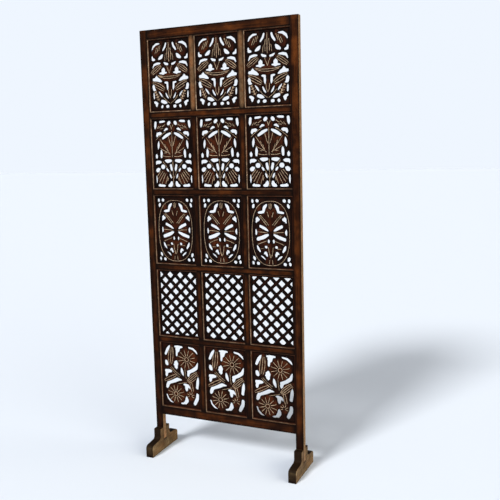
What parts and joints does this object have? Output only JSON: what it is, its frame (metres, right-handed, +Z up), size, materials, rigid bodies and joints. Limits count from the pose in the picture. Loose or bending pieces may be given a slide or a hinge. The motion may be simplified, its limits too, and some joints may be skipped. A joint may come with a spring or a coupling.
{
  "type": "carved wooden partition panel",
  "caption": "Tall standing wooden screen panel: a slim frame of rails and mullions around pierced panels carved with leaves, flowers and a lattice, on two slotted feet.",
  "frame": {"origin": "on the floor, under the middle of the screen", "axes": "+X to the screen's right as seen from its front, +Y from the front to the back, +Z up"},
  "size_m": [0.7006, 0.218, 1.83],
  "materials": {
    "frame_wood": "dark red-brown stained wood, waxed, edges worn paler",
    "panel_wood": "dark red-brown stained wood, pale worn lines in the carving",
    "foot_wood": "dark stained wood, paler worn sides"
  },
  "bodies": {
    "root": {"left_stile": "frame_wood", "right_stile": "frame_wood", "top_rail": "frame_wood", "bottom_rail": "frame_wood", "mid_rail_1": "frame_wood", "mid_rail_2": "frame_wood", "mid_rail_3": "frame_wood", "mid_rail_4": "frame_wood", "mullion_top_left": "frame_wood", "mullion_top_right": "frame_wood", "mullion_upper_left": "frame_wood", "mullion_upper_right": "frame_wood", "mullion_middle_left": "frame_wood", "mullion_middle_right": "frame_wood", "mullion_lower_left": "frame_wood", "mullion_lower_right": "frame_wood", "mullion_bottom_left": "frame_wood", "mullion_bottom_right": "frame_wood", "panel_top_left": "panel_wood", "panel_top_centre": "panel_wood", "panel_top_right": "panel_wood", "panel_upper_left": "panel_wood", "panel_upper_centre": "panel_wood", "panel_upper_right": "panel_wood", "panel_middle_left": "panel_wood", "panel_middle_centre": "panel_wood", "panel_middle_right": "panel_wood", "panel_lower_left": "panel_wood", "panel_lower_centre": "panel_wood", "panel_lower_right": "panel_wood", "panel_bottom_left": "panel_wood", "panel_bottom_centre": "panel_wood", "panel_bottom_right": "panel_wood", "left_foot": "foot_wood", "right_foot": "foot_wood"}
  },
  "joints": []
}
